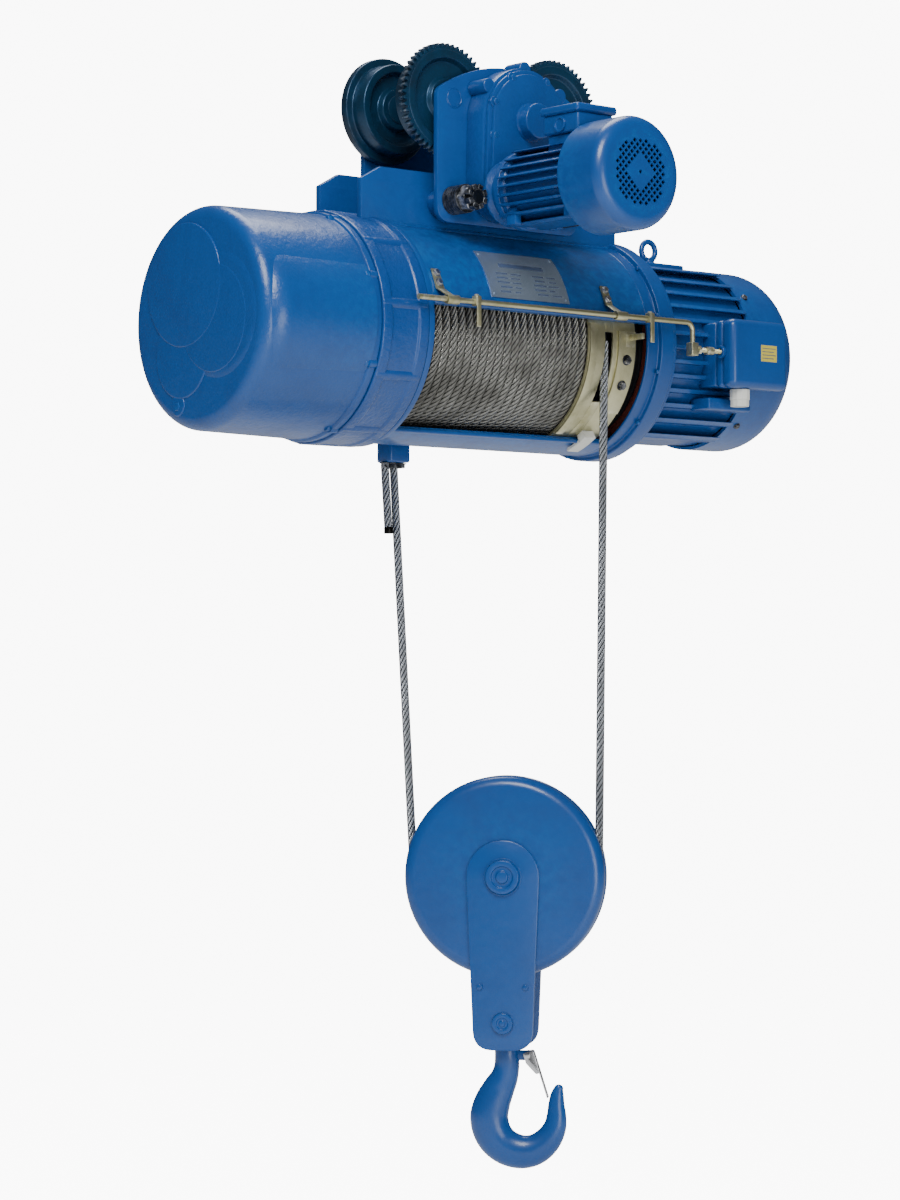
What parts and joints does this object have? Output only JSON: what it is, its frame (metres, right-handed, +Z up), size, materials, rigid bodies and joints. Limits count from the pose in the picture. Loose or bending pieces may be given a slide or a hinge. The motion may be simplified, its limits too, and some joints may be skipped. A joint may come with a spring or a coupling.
{
  "type": "electric wire rope hoist",
  "caption": "Monorail wire rope hoist: drum in a windowed tube between a gearbox and a finned motor, geared push trolley above, rope falls to a swivel hook block.",
  "frame": {"origin": "on the rail's running surface, midway between the four wheels", "axes": "+X along the drum from gearbox to motor and along the rail, +Y away from the trolley drive, +Z up"},
  "size_m": [1.068, 0.587, 1.6493],
  "materials": {
    "blue_paint": "glossy enamel over rough casting and plate",
    "dark_blue_casting": "glossy enamel over rough iron casting",
    "greased_iron": "machined iron with dark grease",
    "bright_steel": "machined",
    "wire_rope": "greased stranded wire",
    "yellow_zinc": "yellow passivated zinc",
    "black_steel": "black oxide",
    "pale_plastic": "moulded",
    "silver_plate": "satin",
    "copper_winding": "varnished winding"
  },
  "bodies": {
    "hoist_frame": {"side_plate_front": "blue_paint", "side_plate_rear": "blue_paint", "front_axle_left": "bright_steel", "front_axle_right": "bright_steel", "rear_axle_left": "bright_steel", "rear_axle_right": "bright_steel", "tie_bolt_left": "black_steel", "tie_bolt_right": "black_steel", "hanging_plate_front": "blue_paint", "hanging_plate_rear": "blue_paint", "drum_housing": "blue_paint", "nameplate": "silver_plate", "gearbox_housing": "dark_blue_casting", "gearbox_cover": "blue_paint", "hoist_motor_frame": "blue_paint", "hoist_motor_cover": "blue_paint", "stator_core": "copper_winding", "drum_bearing_shield": "dark_blue_casting", "eye_bolt": "blue_paint", "switch_box": "blue_paint", "cable_gland": "pale_plastic", "rod_bracket_left": "yellow_zinc", "rod_bracket_right": "yellow_zinc", "reducer_housing": "blue_paint", "reducer_cover": "blue_paint", "trolley_motor_body": "blue_paint", "fan_cover": "blue_paint", "terminal_box": "blue_paint", "rope_anchor": "blue_paint", "rope_tail": "wire_rope", "rope_fall_live": "wire_rope", "rope_fall_dead": "wire_rope"},
    "rope_drum": {"drum": "greased_iron", "rope_on_drum": "wire_rope", "output_gear": "greased_iron"},
    "rope_guide": {"rope_guide": "yellow_zinc", "guide_tongue": "pale_plastic"},
    "limit_rod": {"limit_rod": "yellow_zinc"},
    "hoist_shaft": {"drive_shaft": "bright_steel", "brake_wheel": "greased_iron"},
    "first_gear": {"first_gear": "greased_iron"},
    "second_gear": {"second_gear": "greased_iron"},
    "front_wheel_left": {"front_wheel_left": "greased_iron"},
    "front_wheel_right": {"front_wheel_right": "greased_iron"},
    "rear_wheel_left": {"rear_wheel_left": "greased_iron"},
    "rear_wheel_right": {"rear_wheel_right": "greased_iron"},
    "drive_pinion": {"drive_pinion": "greased_iron"},
    "middle_gear": {"middle_gear": "greased_iron"},
    "trolley_rotor": {"trolley_rotor": "bright_steel"},
    "hook_block": {"sheave_cover_front": "blue_paint", "sheave_cover_rear": "blue_paint", "strap_front": "blue_paint", "strap_rear": "blue_paint", "sheave_pin": "blue_paint", "rope_on_sheave": "wire_rope"},
    "sheave": {"sheave": "greased_iron"},
    "crosshead": {"crosshead": "blue_paint"},
    "hook": {"hook": "blue_paint", "hook_nut": "bright_steel"},
    "latch": {"latch": "bright_steel"}
  },
  "joints": [
    {"name": "hook_lift", "type": "slide", "parent": "hoist_frame", "child": "hook_block", "axis": [0, 0, 1], "range_m": [-9, 0.28], "deforming": ["rope_fall_live", "rope_fall_dead"]},
    {"name": "drum_spin", "type": "hinge", "parent": "hoist_frame", "child": "rope_drum", "pos_m": [0, 0, -0.273], "axis": [1, 0, 0], "range_deg": [-225, 7195]},
    {"name": "guide_travel", "type": "slide", "parent": "hoist_frame", "child": "rope_guide", "axis": [1, 0, 0], "range_m": [-0.2925, 0.0095]},
    {"name": "limit_rod_slide", "type": "slide", "parent": "hoist_frame", "child": "limit_rod", "axis": [1, 0, 0], "range_m": [-0.01, 0.01], "stiffness_N_per_m": 400},
    {"name": "hoist_shaft_spin", "type": "hinge", "parent": "hoist_frame", "child": "hoist_shaft", "pos_m": [0, 0, -0.273], "axis": [1, 0, 0], "continuous": true},
    {"name": "first_gear_spin", "type": "hinge", "parent": "hoist_frame", "child": "first_gear", "pos_m": [-0.41, -0.07, -0.273], "axis": [1, 0, 0], "continuous": true},
    {"name": "second_gear_spin", "type": "hinge", "parent": "hoist_frame", "child": "second_gear", "pos_m": [-0.36, -0.05161, -0.34054], "axis": [1, 0, 0], "continuous": true},
    {"name": "drive_pinion_spin", "type": "hinge", "parent": "hoist_frame", "child": "drive_pinion", "pos_m": [0, -0.0903, 0.0359], "axis": [0, 1, 0], "continuous": true},
    {"name": "front_wheel_left_spin", "type": "hinge", "parent": "hoist_frame", "child": "front_wheel_left", "pos_m": [-0.105, -0.056, 0.067], "axis": [0, 1, 0], "continuous": true},
    {"name": "rear_wheel_left_spin", "type": "hinge", "parent": "hoist_frame", "child": "rear_wheel_left", "pos_m": [-0.105, 0.056, 0.067], "axis": [0, 1, 0], "continuous": true},
    {"name": "front_wheel_right_spin", "type": "hinge", "parent": "hoist_frame", "child": "front_wheel_right", "pos_m": [0.105, -0.056, 0.067], "axis": [0, 1, 0], "continuous": true},
    {"name": "rear_wheel_right_spin", "type": "hinge", "parent": "hoist_frame", "child": "rear_wheel_right", "pos_m": [0.105, 0.056, 0.067], "axis": [0, 1, 0], "continuous": true},
    {"name": "middle_gear_spin", "type": "hinge", "parent": "hoist_frame", "child": "middle_gear", "pos_m": [-0.00067, -0.11, -0.0316], "axis": [0, 1, 0], "continuous": true},
    {"name": "trolley_rotor_spin", "type": "hinge", "parent": "hoist_frame", "child": "trolley_rotor", "pos_m": [-0.042, -0.26, -0.073], "axis": [0, 1, 0], "continuous": true},
    {"name": "sheave_spin", "type": "hinge", "parent": "hook_block", "child": "sheave", "pos_m": [0.0436, -0.0332, -1.068], "axis": [-0.749, -0.6626, 0], "range_deg": [-3740, 118]},
    {"name": "crosshead_tilt", "type": "hinge", "parent": "hook_block", "child": "crosshead", "pos_m": [0.0436, -0.0332, -1.283], "axis": [-0.749, -0.6626, 0], "range_deg": [-5, 5]},
    {"name": "hook_swivel", "type": "hinge", "parent": "crosshead", "child": "hook", "pos_m": [0.0436, -0.0332, -1.283], "axis": [0, 0, 1], "continuous": true},
    {"name": "latch_open", "type": "hinge", "parent": "hook", "child": "latch", "pos_m": [0.06547, -0.05792, -1.333], "axis": [0.749, 0.6626, 0], "range_deg": [0, 36], "stiffness_Nm_per_rad": 0.08, "springref_deg": -34.38}
  ],
  "couplings": [
    {"joint": "drum_spin", "follows": "hook_lift", "rad_per_m": -13.94},
    {"joint": "guide_travel", "follows": "hook_lift", "ratio": 0.03239},
    {"joint": "sheave_spin", "follows": "hook_lift", "rad_per_m": 7.246},
    {"joint": "first_gear_spin", "follows": "hoist_shaft_spin", "ratio": -0.25},
    {"joint": "second_gear_spin", "follows": "hoist_shaft_spin", "ratio": 0.057017},
    {"joint": "front_wheel_left_spin", "follows": "drive_pinion_spin", "ratio": -0.37736},
    {"joint": "front_wheel_right_spin", "follows": "drive_pinion_spin", "ratio": -0.37736},
    {"joint": "rear_wheel_left_spin", "follows": "drive_pinion_spin", "ratio": -0.37736},
    {"joint": "rear_wheel_right_spin", "follows": "drive_pinion_spin", "ratio": -0.37736},
    {"joint": "middle_gear_spin", "follows": "drive_pinion_spin", "ratio": -3.2857},
    {"joint": "trolley_rotor_spin", "follows": "drive_pinion_spin", "ratio": 10.952}
  ]
}
